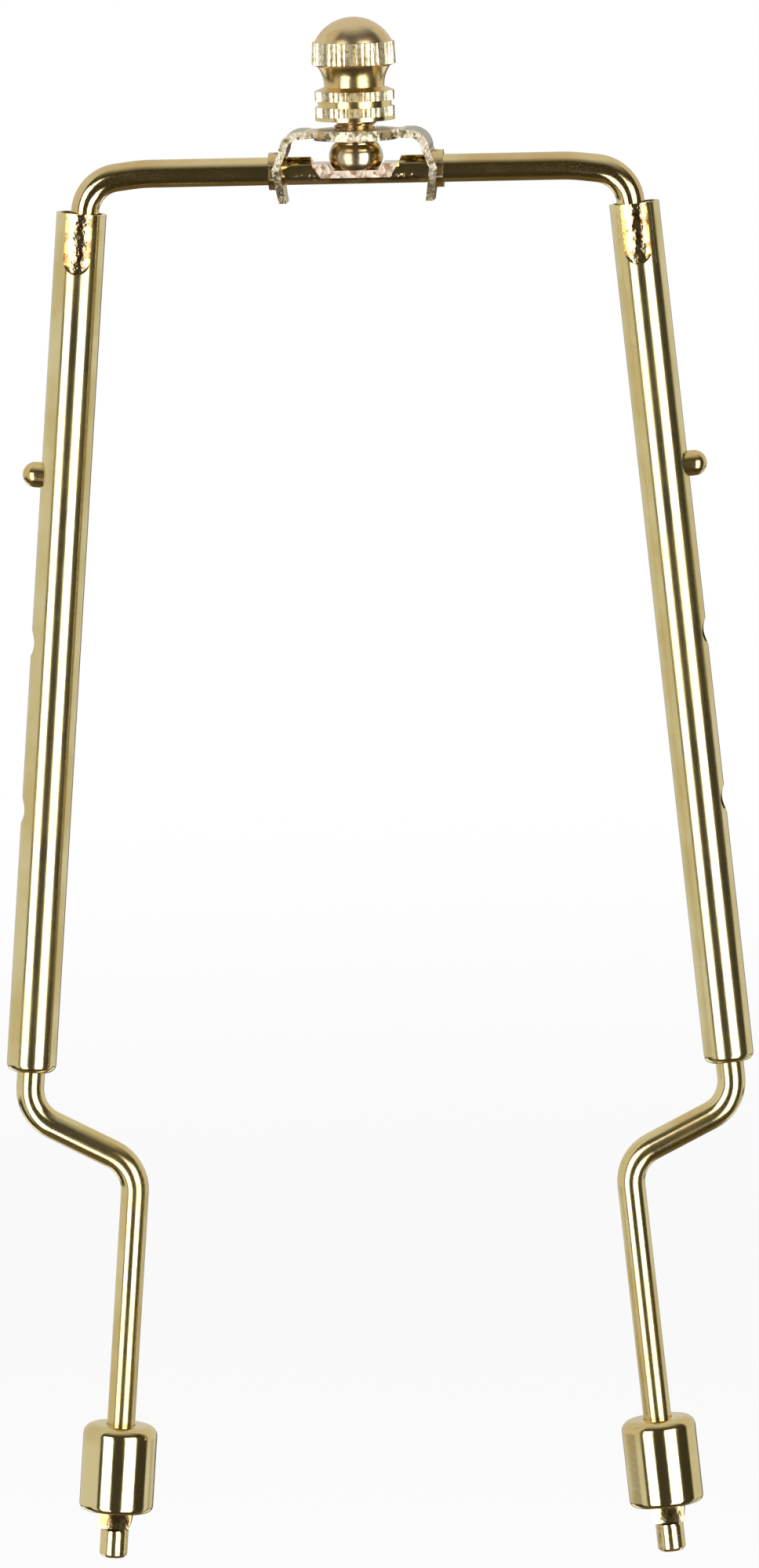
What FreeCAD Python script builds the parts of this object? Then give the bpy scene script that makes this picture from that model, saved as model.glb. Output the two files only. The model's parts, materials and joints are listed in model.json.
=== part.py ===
import FreeCAD, Part
import math
import os
import Sketcher

# An adjustable lamp harp. The foot of each tube is 0 in its leg's own frame, where +Z runs up the
# tube and +X points out of the harp. The harp's frame has +Z up, +X across the harp, and its origin
# midway between the two leg tips, level with their lowest edge. Lengths in mm, angles in degrees.
driving_sizes = {
    # wire and legs
    "wire_dia": (4.2, "wire of the bow and of the leg rods"),
    "splay": (5, "lean of each tube and leg, tops towards each other"),
    "tip_spread": (42.5, "middle of the harp to a leg tip"),
    "leg_reach": (73.4, "tube foot down to the leg tip"),
    "jog_offset": (16.8, "how far the jog brings the rod inwards"),
    "jog_upper": (6.46, "tube foot down to the jog's upper corner"),
    "jog_lower": (13.27, "tube foot down to the jog's lower corner"),
    "jog_bend": (6, "bend radius of the jog, on the wire's middle line"),
    "tip_chamfer": (0.45, "chamfer of the leg tip"),
    # the ears pressed out of the rod's end
    "ear_span": (5.1, "width across the ears"),
    "ear_flat": (3, "thickness left between the pressed flats"),
    "ear_height": (3.4, "length of one pair of ears along the rod"),
    "lower_ear_rise": (3.9, "leg tip up to the lower ears"),
    "ear_root": (4.24, "width across the ears where they start"),
    "ear_slope": (2.2, "length over which the ears widen"),
    "ear_round": (6.5, "radius of the ears' outline where they widen"),
    "ear_shoulder": (0.3, "length over which the ears end at the top"),
    "flat_slope": (0.5, "length over which the flats run out into the round"),
    # tubes
    "tube_outer": (7.5, "outside diameter of a tube"),
    "tube_wall": (0.6, "wall of a tube"),
    "tube_length": (130.3, "length of a tube"),
    "tube_mouth": (4.6, "opening left by the tube's rolled foot"),
    "tube_roll": (1.2, "height of the rolled foot"),
    "hole_dia": (4.05, "button holes of tube and slider"),
    "hole_drop": (39.8, "tube top down to the first button hole"),
    "hole_pitch": (25.4, "spacing of the button holes"),
    "hole_count": (3, "button holes in each tube"),
    "crimp_length": (9.1, "tube top down to the end of the crimp"),
    "crimp_width": (4, "width of each crimp dimple"),
    "crimp_fit": (0.02, "between the crimped wall and the wire"),
    # top bow
    "bow_depth": (11, "length of wire held inside the tube"),
    "bow_shift": (0.5, "wire inwards of the tube's middle line"),
    "bow_rise": (4.75, "tube top up to the corner of the bow"),
    "bow_bend": (5.5, "bend radius at the bow's corner"),
    "shoulder_slope": (7, "slope of the bow's shoulders"),
    "shoulder_run": (8.3, "run of a shoulder from the corner to the level wire"),
    "shoulder_bend": (25, "bend radius where the shoulder becomes level"),
    "seat_top_span": (13, "coined seat, across its top"),
    "seat_foot_span": (10.4, "coined seat, across its foot"),
    "seat_rise": (1.1, "coined seat, above the wire's middle line"),
    "seat_height": (2.1, "coined seat, height"),
    "seat_width": (6, "coined seat, front to back"),
    "notch_top_span": (8.2, "notch for the stud's head, across its top"),
    "notch_floor_span": (7.2, "notch for the stud's head, across its floor"),
    "notch_depth": (1, "notch for the stud's head, depth"),
    # saddle strap
    "strap_rise": (6.1, "level wire's middle line up to the strap's top face"),
    "strap_gauge": (1.15, "sheet thickness of the strap"),
    "strap_width": (9, "strap, front to back"),
    "strap_span": (22.6, "strap, across the outside at its top corners"),
    "strap_corner": (3, "outer bend radius of the strap"),
    "strap_flare": (24.8, "strap, across the outside at its widest"),
    "flare_rise": (0.4, "wire's middle line up to the strap's widest place"),
    "tab_span": (23.2, "strap, across the outside at the tabs' feet"),
    "tab_drop": (4.7, "wire's middle line down to the tabs' feet"),
    "tab_width": (5.6, "tab's foot, front to back"),
    "disc_dia": (12.6, "round landing for the shade, on the strap"),
    "disc_gauge": (1.5, "thickness of the landing"),
    "arm_start": (14.2, "between the ends of the strap's arms at the landing"),
    "neck_width": (5.2, "neck between landing and arm, front to back"),
    "wire_hole_gap": (0.12, "radial gap of the strap's wire holes"),
    "collar_wall": (0.6, "wall of the collars round the wire holes"),
    "collar_rise": (0.7, "collars outwards from the strap's widest place"),
    # stud
    "stud_dia": (6.35, "thread diameter of the stud"),
    "stud_hole_gap": (0.08, "radial gap of the stud in the strap"),
    "stud_length": (9, "stud above the strap"),
    "stud_chamfer": (0.6, "chamfer of the stud's end"),
    "head_flat_dia": (6.6, "head's flat ends"),
    "head_height": (3.8, "height of the stud's head"),
    "head_round": (2.8, "radius that the head's side bulges to"),
    "head_gap": (0.05, "stud's head above the floor of its notch"),
    # finial
    "finial_gap": (1.4, "strap's top face up to the finial"),
    "finial_height": (15.4, "height of the finial"),
    "base_dia": (11.9, "finial's base flange"),
    "base_plain": (0.6, "plain foot of the flange"),
    "base_band": (1.4, "height of each knurled band of the flange"),
    "base_groove": (1, "height of the groove between them"),
    "groove_depth": (0.45, "depth of that groove"),
    "neck_low_dia": (9, "neck, at its foot"),
    "neck_low_rise": (0.6, "slope from the flange to the neck, height"),
    "neck_high_dia": (10.9, "neck, at its top"),
    "head_bevel": (0.35, "height of the bevel under the head"),
    "neck_hollow": (5.2, "radius of the neck's hollow"),
    "head_band_base": (8.4, "finial's foot up to the head's knurled band"),
    "head_band_height": (3.3, "height of the head's knurled band"),
    "head_band_dia": (12.6, "head's knurled band, at its foot"),
    "head_band_taper": (0.15, "how much narrower its top is, in radius"),
    "dome_dia": (11.7, "dome, at its foot"),
    "knurl_count": (42, "teeth round each band"),
    "knurl_depth": (0.4, "depth of the teeth, which are cut at 90 degrees"),
    "bore_gap": (0.05, "radial gap of the finial on the stud"),
    "bore_depth": (10.2, "depth of the finial's bore"),
    # slider, spring and button inside each tube
    "slider_gap": (0.1, "radial gap of the slider in the tube"),
    "slider_wall": (0.45, "wall of the slider round the spring"),
    "slider_above": (8.5, "button up to the slider's top"),
    "slider_below": (17.5, "button down to the slider's foot"),
    "slider_grip": (9, "length of rod held in the slider"),
    "slider_chamfer": (0.25, "chamfer of the slider's ends"),
    "strip_gauge": (0.25, "thickness of the leaf spring"),
    "strip_width": (3, "width of the leaf spring"),
    "strip_gap": (0.6, "between each leaf and the slider's bore, on the middle line"),
    "strip_above": (5, "button up to the end of the leaves"),
    "strip_lift": (0.2, "between the rod's end and the spring"),
    "button_gap": (0.1, "radial gap of the button in its holes"),
    "button_reach": (6.55, "tube's middle line to the button's nose"),
    "button_seat_gap": (0.02, "between the button and the leaf that carries it"),
    "rivet_dia": (1.4, "rivet of the button, through the leaf"),
    "rivet_gap": (0.03, "radial gap of that rivet"),
    # ferrules
    "ferrule_dia": (11.2, "outside diameter of a ferrule"),
    "ferrule_length": (13.2, "length of a ferrule"),
    "ferrule_wall": (0.7, "wall of a ferrule"),
    "ferrule_shoulder": (1.6, "outer radius of its shoulder"),
    "ferrule_rim": (0.9, "outer radius of its rolled rim"),
    "ferrule_hole_gap": (0.1, "radial gap of its hole round the rod"),
    "ferrule_rise": (7.2, "leg tip up to the ferrule's rim"),
    "ferrule_rest_gap": (0.05, "between the upper ears and the ferrule's end wall"),
}

document = FreeCAD.newDocument("lamp_harp")
sheet = document.addObject("Spreadsheet::Sheet", "Sheet")
for row, (alias, (value, meaning)) in enumerate(driving_sizes.items(), start=1):
    sheet.set(f"A{row}", meaning)
    sheet.set(f"B{row}", str(value))
    sheet.setAlias(f"B{row}", alias)
document.recompute()


def worth(expression):
    """The number that an expression on the sheet's values gives."""
    return float(sheet.evalExpression(expression))


def named(text):
    """An expression with each driving size's name pointed at the sheet."""
    words = text.split()
    return " ".join(f"Sheet.{word}" if word in driving_sizes else word for word in words)


# Sketches: each vertex of an outline is bound to two expressions, across and up

def sketch_on(body, plane_role, name, offset="0"):
    plane = next(f for f in body.Origin.OriginFeatures if f.Role == plane_role)
    sketch = body.newObject("Sketcher::SketchObject", name)
    sketch.AttachmentSupport = [(plane, "")]
    sketch.MapMode = "FlatFace"
    if offset != "0":
        sketch.setExpression("AttachmentOffset.Base.z", named(offset))
    return sketch


def bind_point(sketch, edge, end, point):
    for kind, axis, place in (("DistanceX", -2, point[0]), ("DistanceY", -1, point[1])):
        value = worth(named(place))
        if abs(value) < 1e-9:
            sketch.addConstraint(Sketcher.Constraint("PointOnObject", edge, end, axis))
            continue
        number = sketch.addConstraint(Sketcher.Constraint(kind, -1, 1, edge, end, value))
        sketch.setExpression(f"Constraints[{number}]", named(place))


def spot(point):
    return FreeCAD.Vector(worth(named(point[0])), worth(named(point[1])), 0)


def arc_between(start, end, radius):
    """The shorter arc from start to end, anticlockwise if the radius is positive."""
    chord = end - start
    left = FreeCAD.Vector(-chord.y, chord.x, 0).normalize()
    reach = math.sqrt(max(radius * radius - chord.Length * chord.Length / 4, 0))
    middle = (start + end) * 0.5 + left * math.copysign(reach, radius)
    circle = Part.Circle(middle, FreeCAD.Vector(0, 0, 1), abs(radius))
    first, last = (start, end) if radius > 0 else (end, start)
    return Part.ArcOfCircle(circle, circle.parameter(first), circle.parameter(last))


def bind_radius(sketch, edge, radius):
    size = sketch.addConstraint(Sketcher.Constraint("Radius", edge, worth(named(radius))))
    sketch.setExpression(f"Constraints[{size}]", named(radius))


def draw_outline(sketch, points, arcs=None):
    """A closed outline. arcs names, by its first point's number, each edge that is bent, with its
    radius, which starts with a minus sign where the edge turns clockwise."""
    arcs = arcs or {}
    ends = []
    for number, point in enumerate(points):
        start, end = spot(point), spot(points[(number + 1) % len(points)])
        if number in arcs:
            clockwise = arcs[number].startswith("-")
            radius = arcs[number].lstrip("- ")
            sign = -1 if clockwise else 1
            edge = sketch.addGeometry(arc_between(start, end, sign * worth(named(radius))))
            bind_radius(sketch, edge, radius)
            ends.append((edge, 2, 1) if clockwise else (edge, 1, 2))
        else:
            ends.append((sketch.addGeometry(Part.LineSegment(start, end)), 1, 2))
    for number, point in enumerate(points):
        edge, first, _ = ends[number]
        before, _, last = ends[number - 1]
        sketch.addConstraint(Sketcher.Constraint("Coincident", before, last, edge, first))
        bind_point(sketch, edge, first, point)


def draw_circle(sketch, middle, radius):
    circle = Part.Circle(spot(middle), FreeCAD.Vector(0, 0, 1), worth(named(radius)))
    edge = sketch.addGeometry(circle)
    bind_radius(sketch, edge, radius)
    bind_point(sketch, edge, 3, middle)


def draw_route(sketch, corners, bends):
    """An open route of straight runs with a bend at each corner between its ends."""
    places = [spot(corner) for corner in corners]
    joins = []
    for here, before, after, bend in zip(places[1:], places, places[2:], bends):
        radius = worth(named(bend))
        back, on = (before - here).normalize(), (after - here).normalize()
        reach = radius / math.tan(back.getAngle(on) / 2)
        anticlockwise = on.cross(back).z > 0
        arc = arc_between(here + back * reach, here + on * reach, radius if anticlockwise else -radius)
        joins.append((here + back * reach, here + on * reach, arc, anticlockwise))
    starts = places[:1] + [leave for _, leave, _, _ in joins]
    ends = [enter for enter, _, _, _ in joins] + places[-1:]
    runs = [sketch.addGeometry(Part.LineSegment(a, b)) for a, b in zip(starts, ends)]
    bind_point(sketch, runs[0], 1, corners[0])
    bind_point(sketch, runs[-1], 2, corners[-1])
    for number, (_, _, arc, anticlockwise) in enumerate(joins):
        corner = sketch.addGeometry(Part.Point(places[number + 1]), True)
        bind_point(sketch, corner, 1, corners[number + 1])
        sketch.addConstraint(Sketcher.Constraint("PointOnObject", corner, 1, runs[number]))
        sketch.addConstraint(Sketcher.Constraint("PointOnObject", corner, 1, runs[number + 1]))
        bend = sketch.addGeometry(arc)
        enter, leave = (1, 2) if anticlockwise else (2, 1)
        sketch.addConstraint(Sketcher.Constraint("Tangent", runs[number], 2, bend, enter))
        sketch.addConstraint(Sketcher.Constraint("Tangent", bend, leave, runs[number + 1], 1))
        bind_radius(sketch, bend, bends[number])


# Features

def new_body(label, placement=FreeCAD.Placement()):
    body = document.addObject("PartDesign::Body", label)
    body.Label = label
    body.Placement = placement
    return body


def origin_feature(body, role):
    return next(f for f in body.Origin.OriginFeatures if f.Role == role)


def finish(body, feature):
    document.recompute()
    body.Tip = feature
    return feature


def extrude(body, sketch, kind, length, both_ways, backwards):
    feature = body.newObject(f"PartDesign::{kind}", f"{sketch.Name}_{kind}")
    feature.Profile = sketch
    feature.setExpression("Length", named(length))
    feature.SideType = "Symmetric" if both_ways else "One side"
    feature.Reversed = backwards
    return finish(body, feature)


def pad(body, sketch, length, both_ways=False):
    return extrude(body, sketch, "Pad", length, both_ways, False)


def pocket(body, sketch, length, both_ways=False, outwards=False):
    """Cuts against the sketch's normal, or along it where it cuts outwards."""
    return extrude(body, sketch, "Pocket", length, both_ways, outwards)


def turn(body, sketch, kind="Revolution"):
    feature = body.newObject(f"PartDesign::{kind}", f"{sketch.Name}_{kind}")
    feature.Profile = sketch
    feature.ReferenceAxis = (sketch, ["V_Axis"])
    feature.Angle = 360
    return finish(body, feature)


def sweep(body, profile, route):
    feature = body.newObject("PartDesign::AdditivePipe", f"{route.Name}_swept")
    feature.Profile = profile
    feature.Spine = (route, [])
    return finish(body, feature)


def mirror(body, original, plane_role):
    feature = body.newObject("PartDesign::Mirrored", f"{original.Name}_mirrored")
    feature.Originals = [original]
    feature.MirrorPlane = (origin_feature(body, plane_role), [""])
    return finish(body, feature)


# Places. A leg's frame is that of the right leg, and the left leg is the same leg turned about Z

foot_across = "( tip_spread + jog_offset * cos( splay ) - leg_reach * sin( splay ) )"
tip_edge = "( ( wire_dia / 2 - tip_chamfer ) * sin( splay ) )"
foot_up = f"( leg_reach * cos( splay ) + jog_offset * sin( splay ) + {tip_edge} )"


def in_harp(across, up):
    """The harp-frame place of a point given in the right leg's frame."""
    return (
        f"( {foot_across} + ( {across} ) * cos( splay ) - ( {up} ) * sin( splay ) )",
        f"( {foot_up} + ( {across} ) * sin( splay ) + ( {up} ) * cos( splay ) )",
    )


def leg_place(side, across="0", up="0", tilt=0):
    """Where a piece stands whose own origin is at this point of the leg on this side."""
    lean = FreeCAD.Rotation(FreeCAD.Vector(0, 1, 0), -worth(named("splay")))
    x, z = (worth(named(place)) for place in in_harp(across, up))
    right = FreeCAD.Placement(FreeCAD.Vector(x, 0, z), lean)
    right *= FreeCAD.Placement(FreeCAD.Vector(), FreeCAD.Rotation(FreeCAD.Vector(0, 1, 0), tilt))
    about = FreeCAD.Rotation(FreeCAD.Vector(0, 0, 1), 180 if side == "left" else 0)
    return FreeCAD.Placement(FreeCAD.Vector(), about) * right


bow_corner = in_harp("0 - bow_shift", "tube_length + bow_rise")
level_start = f"( {bow_corner[0]} - shoulder_run )"
level = f"( {bow_corner[1]} + shoulder_run * tan( shoulder_slope ) )"
strap_top = f"( {level} + strap_rise )"
notch_floor = f"( {level} + seat_rise - notch_depth )"
button_up = "( tube_length - hole_drop )"
slider_foot = f"( {button_up} - slider_below )"
rod_top = f"( {slider_foot} + slider_grip )"
slider_radius = "( tube_outer / 2 - tube_wall - slider_gap )"
slider_bore = f"( {slider_radius} - slider_wall )"
leaf_outer = f"( {slider_bore} - strip_gap )"
leaf_inner = f"( {leaf_outer} - strip_gauge )"
leaf_bend_up = f"( {rod_top} + strip_lift + {leaf_outer} )"
leaf_end = f"( {button_up} + strip_above )"
button_seat = f"( {leaf_outer} + button_seat_gap )"


# Fixed frame: the bow, the saddle strap and the two tubes

def make_top_bow():
    body = new_body("top_bow")
    section = sketch_on(body, "YZ_Plane", "bow_section")
    draw_circle(section, ("0", level), "wire_dia / 2")
    route = sketch_on(body, "XZ_Plane", "bow_route")
    corners = [
        ("0", level),
        (level_start, level),
        bow_corner,
        in_harp("0 - bow_shift", "tube_length - bow_depth"),
    ]
    draw_route(route, corners, ["shoulder_bend", "bow_bend"])
    mirror(body, sweep(body, section, route), "YZ_Plane")

    seat_top, seat_foot = f"( {level} + seat_rise )", f"( {level} + seat_rise - seat_height )"
    struck = sketch_on(body, "XZ_Plane", "struck_top")
    clear_span, clear_top = "( seat_top_span / 2 + wire_dia / 4 )", f"( {level} + wire_dia )"
    draw_outline(struck, [
        ("0 - seat_top_span / 2", seat_top),
        ("seat_top_span / 2", seat_top),
        (clear_span, clear_top),
        (f"0 - {clear_span}", clear_top),
    ])
    pocket(body, struck, "seat_width + wire_dia", both_ways=True)
    seat = sketch_on(body, "XZ_Plane", "coined_seat")
    draw_outline(seat, [
        ("0 - seat_foot_span / 2", seat_foot),
        ("seat_foot_span / 2", seat_foot),
        ("seat_top_span / 2", seat_top),
        ("0 - seat_top_span / 2", seat_top),
    ])
    pad(body, seat, "seat_width", both_ways=True)
    notch = sketch_on(body, "XZ_Plane", "notch")
    draw_outline(notch, [
        ("0 - notch_floor_span / 2", notch_floor),
        ("notch_floor_span / 2", notch_floor),
        ("notch_top_span / 2", seat_top),
        ("0 - notch_top_span / 2", seat_top),
    ])
    pocket(body, notch, "seat_width + wire_dia", both_ways=True)
    return body


def make_saddle_strap():
    body = new_body("saddle_strap")
    half = sketch_on(body, "XZ_Plane", "strap_half")
    corner_across, corner_up = "( strap_span / 2 - strap_corner )", f"( {strap_top} - strap_corner )"
    underside = f"( {strap_top} - strap_gauge )"
    flare_up, tab_foot = f"( {level} + flare_rise )", f"( {level} - tab_drop )"
    draw_outline(half, [
        ("0", underside),
        (corner_across, underside),
        ("strap_span / 2 - strap_gauge", corner_up),
        ("strap_flare / 2 - strap_gauge", flare_up),
        ("tab_span / 2 - strap_gauge", tab_foot),
        ("tab_span / 2", tab_foot),
        ("strap_flare / 2", flare_up),
        ("strap_span / 2", corner_up),
        (corner_across, strap_top),
        ("0", strap_top),
    ], {1: "-( strap_corner - strap_gauge )", 7: "strap_corner"})
    mirror(body, pad(body, half, "strap_width", both_ways=True), "YZ_Plane")
    relief = sketch_on(body, "XY_Plane", "neck_relief", strap_top)
    clear = "( strap_width / 2 + strap_gauge )"
    draw_outline(relief, [
        ("0 - arm_start / 2", "neck_width / 2"),
        ("arm_start / 2", "neck_width / 2"),
        ("arm_start / 2", clear),
        ("0 - arm_start / 2", clear),
    ])
    mirror(body, pocket(body, relief, "strap_gauge"), "XZ_Plane")
    disc = sketch_on(body, "XY_Plane", "landing", f"{strap_top} - disc_gauge")
    draw_circle(disc, ("0", "0"), "disc_dia / 2")
    pad(body, disc, "disc_gauge")
    taper = sketch_on(body, "YZ_Plane", "tab_taper")
    below = f"( {tab_foot} - strap_gauge )"
    draw_outline(taper, [
        ("tab_width / 2", below),
        (clear, below),
        (clear, flare_up),
        ("strap_width / 2", flare_up),
        ("tab_width / 2", f"{tab_foot} + strap_gauge"),
    ])
    mirror(body, pocket(body, taper, "strap_flare + wire_dia", both_ways=True), "XZ_Plane")
    collar = sketch_on(body, "YZ_Plane", "collar", "strap_flare / 2 - strap_gauge")
    draw_circle(collar, ("0", level), "wire_dia / 2 + wire_hole_gap + collar_wall")
    mirror(body, pad(body, collar, "strap_gauge + collar_rise"), "YZ_Plane")
    wire_hole = sketch_on(body, "YZ_Plane", "wire_holes")
    draw_circle(wire_hole, ("0", level), "wire_dia / 2 + wire_hole_gap")
    pocket(body, wire_hole, "strap_flare + wire_dia", both_ways=True)
    stud_hole = sketch_on(body, "XY_Plane", "stud_hole", strap_top)
    draw_circle(stud_hole, ("0", "0"), "stud_dia / 2 + stud_hole_gap")
    pocket(body, stud_hole, "disc_gauge")
    return body


def crimp_outline(sketch, half_width, top):
    """A long dimple that ends below in a round arch."""
    arch_up = "( tube_length - crimp_length + crimp_width / 2 )"
    draw_outline(sketch, [
        (f"0 - {half_width}", arch_up),
        ("0", f"{arch_up} - {half_width}"),
        (half_width, arch_up),
        (half_width, top),
        (f"0 - {half_width}", top),
    ], {0: half_width, 1: half_width})


def make_tube(side):
    body = new_body(f"{side}_tube", leg_place(side))
    outer, bore = "tube_outer / 2", "tube_outer / 2 - tube_wall"
    rolled = "tube_outer / 2 - tube_roll"
    wall = sketch_on(body, "XZ_Plane", "tube_wall")
    draw_outline(wall, [
        ("tube_mouth / 2", "0"),
        (rolled, "0"),
        (outer, "tube_roll"),
        (outer, "tube_length"),
        (bore, "tube_length"),
        (bore, "tube_roll"),
        (rolled, "tube_wall"),
        ("tube_mouth / 2", "tube_wall"),
    ], {1: "tube_roll", 5: "-( tube_roll - tube_wall )"})
    turn(body, wall)

    # the crimp: wall pressed onto the wire, front and back
    pressed = sketch_on(body, "XZ_Plane", "crimp_inside", "wire_dia / 2 + crimp_fit")
    crimp_outline(pressed, "( crimp_width / 2 + tube_wall )", "tube_length")
    inside = pad(body, pressed, "tube_outer / 2 - wire_dia / 2 - crimp_fit")
    mirror(body, inside, "XZ_Plane")
    skin = sketch_on(body, "XZ_Plane", "crimp_skin")
    skin_foot = "tube_length - crimp_length - tube_outer"
    draw_outline(skin, [
        (outer, skin_foot),
        ("tube_outer", skin_foot),
        ("tube_outer", "tube_length + tube_wall"),
        (outer, "tube_length + tube_wall"),
    ])
    turn(body, skin, "Groove")
    dimple = sketch_on(body, "XZ_Plane", "crimp_dimple", "wire_dia / 2 + crimp_fit + tube_wall")
    crimp_outline(dimple, "( crimp_width / 2 )", "tube_length + tube_wall")
    mirror(body, pocket(body, dimple, "tube_outer / 2", outwards=True), "XZ_Plane")

    hole = sketch_on(body, "YZ_Plane", "button_hole")
    draw_circle(hole, ("0", button_up), "hole_dia / 2")
    top_hole = pocket(body, hole, "tube_outer", outwards=True)
    row = body.newObject("PartDesign::LinearPattern", "button_holes")
    row.Originals = [top_hole]
    row.Direction = (origin_feature(body, "Z_Axis"), [""])
    row.Reversed = True
    row.setExpression("Length", named("( hole_count - 1 ) * hole_pitch"))
    row.setExpression("Occurrences", named("hole_count"))
    finish(body, row)
    return body


# Sliding leg: the rod, its slider, and the spring that carries the button

def press_ears(body, name, foot):
    """One pair of ears pressed sideways out of the rod, with a flat in front and one behind."""
    top = f"( {foot} + ear_height )"
    flats = sketch_on(body, "YZ_Plane", f"{name}_flats", "0 - jog_offset")
    draw_outline(flats, [
        ("ear_flat / 2", f"{foot} + flat_slope"),
        ("wire_dia / 2 + tip_chamfer", foot),
        ("wire_dia / 2 + tip_chamfer", top),
        ("ear_flat / 2", f"{top} - flat_slope"),
    ])
    mirror(body, pocket(body, flats, "wire_dia + tip_chamfer", both_ways=True), "XZ_Plane")
    ears = sketch_on(body, "XZ_Plane", f"{name}_ears")
    narrow, wide = "( ear_root / 2 )", "( ear_span / 2 )"
    root = f"( {foot} + flat_slope )"
    wide_foot, wide_top = f"( {root} + ear_slope )", f"( {top} - ear_shoulder )"
    draw_outline(ears, [
        (f"{narrow} - jog_offset", root),
        (f"{wide} - jog_offset", wide_foot),
        (f"{wide} - jog_offset", wide_top),
        (f"{narrow} - jog_offset", top),
        (f"0 - {narrow} - jog_offset", top),
        (f"0 - {wide} - jog_offset", wide_top),
        (f"0 - {wide} - jog_offset", wide_foot),
        (f"0 - {narrow} - jog_offset", root),
    ], {0: "ear_round", 6: "ear_round"})
    pad(body, ears, "ear_flat", both_ways=True)


def make_leg_rod(side):
    body = new_body(f"{side}_leg_rod", leg_place(side))
    section = sketch_on(body, "XY_Plane", "rod_section", rod_top)
    draw_circle(section, ("0", "0"), "wire_dia / 2")
    route = sketch_on(body, "XZ_Plane", "rod_route")
    corners = [
        ("0", rod_top),
        ("0", "0 - jog_upper"),
        ("0 - jog_offset", "0 - jog_lower"),
        ("0 - jog_offset", "0 - leg_reach"),
    ]
    draw_route(route, corners, ["jog_bend", "jog_bend"])
    rod = sweep(body, section, route)

    tip_up = -worth(named("leg_reach"))
    tip_edges = [
        f"Edge{number}"
        for number, edge in enumerate(rod.Shape.Edges, start=1)
        if abs(edge.BoundBox.ZMax - tip_up) < 0.001
    ]
    chamfer = body.newObject("PartDesign::Chamfer", "tip_chamfered")
    chamfer.Base = (rod, tip_edges)
    chamfer.setExpression("Size", named("tip_chamfer"))
    finish(body, chamfer)
    press_ears(body, "lower", "( lower_ear_rise - leg_reach )")
    ferrule_end = "ferrule_rise + ferrule_length - ferrule_wall - ferrule_rest_gap"
    press_ears(body, "upper", f"( {ferrule_end} - ear_height - leg_reach )")
    return body


def make_slider(side):
    body = new_body(f"{side}_slider", leg_place(side))
    top = f"( {button_up} + slider_above )"
    shell = sketch_on(body, "XZ_Plane", "slider_wall")
    draw_outline(shell, [
        ("wire_dia / 2", slider_foot),
        (f"{slider_radius} - slider_chamfer", slider_foot),
        (slider_radius, f"{slider_foot} + slider_chamfer"),
        (slider_radius, f"{top} - slider_chamfer"),
        (f"{slider_radius} - slider_chamfer", top),
        (slider_bore, top),
        (slider_bore, rod_top),
        ("wire_dia / 2", rod_top),
    ])
    turn(body, shell)
    hole = sketch_on(body, "YZ_Plane", "button_hole")
    draw_circle(hole, ("0", button_up), "hole_dia / 2")
    pocket(body, hole, "tube_outer", outwards=True)
    return body


def make_button_spring(side):
    body = new_body(f"{side}_button_spring", leg_place(side))
    strip = sketch_on(body, "XZ_Plane", "bent_strip")
    draw_outline(strip, [
        (f"0 - {leaf_outer}", leaf_bend_up),
        ("0", f"{leaf_bend_up} - {leaf_outer}"),
        (leaf_outer, leaf_bend_up),
        (leaf_outer, leaf_end),
        (leaf_inner, leaf_end),
        (leaf_inner, leaf_bend_up),
        ("0", f"{leaf_bend_up} - {leaf_inner}"),
        (f"0 - {leaf_inner}", leaf_bend_up),
        (f"0 - {leaf_inner}", leaf_end),
        (f"0 - {leaf_outer}", leaf_end),
    ], {0: leaf_outer, 1: leaf_outer, 5: f"-{leaf_inner}", 6: f"-{leaf_inner}"})
    pad(body, strip, "strip_width", both_ways=True)
    rivet_hole = sketch_on(body, "YZ_Plane", "rivet_hole")
    draw_circle(rivet_hole, ("0", button_up), "rivet_dia / 2 + rivet_gap")
    pocket(body, rivet_hole, "tube_outer", outwards=True)
    return body


def make_button(side):
    body = new_body(f"{side}_button", leg_place(side, button_seat, button_up, tilt=90))
    radius, length = "( hole_dia / 2 - button_gap )", f"( button_reach - {button_seat} )"
    rivet_end = "0 - button_seat_gap - strip_gauge"
    profile = sketch_on(body, "XZ_Plane", "button_profile")
    draw_outline(profile, [
        ("0", rivet_end),
        ("rivet_dia / 2", rivet_end),
        ("rivet_dia / 2", "0"),
        (radius, "0"),
        (radius, f"{length} - {radius}"),
        ("0", length),
    ], {4: radius})
    turn(body, profile)
    return body


def make_ferrule(side):
    body = new_body(f"{side}_ferrule", leg_place(side, "0 - jog_offset", "ferrule_rise - leg_reach"))
    outer, inner = "ferrule_dia / 2", "ferrule_dia / 2 - ferrule_wall"
    hole = "wire_dia / 2 + ferrule_hole_gap"
    shoulder_up, shoulder = "ferrule_length - ferrule_shoulder", "ferrule_dia / 2 - ferrule_shoulder"
    cap = sketch_on(body, "XZ_Plane", "drawn_cap")
    draw_outline(cap, [
        ("ferrule_dia / 2 - ferrule_rim", "0"),
        (outer, "ferrule_rim"),
        (outer, shoulder_up),
        (shoulder, "ferrule_length"),
        (hole, "ferrule_length"),
        (hole, "ferrule_length - ferrule_wall"),
        (shoulder, "ferrule_length - ferrule_wall"),
        (inner, shoulder_up),
        (inner, "ferrule_rim"),
        ("ferrule_dia / 2 - ferrule_rim", "ferrule_wall"),
    ], {
        0: "ferrule_rim",
        2: "ferrule_shoulder",
        6: "-( ferrule_shoulder - ferrule_wall )",
        8: "-( ferrule_rim - ferrule_wall )",
    })
    turn(body, cap)
    return body


# Stud and finial

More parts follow.
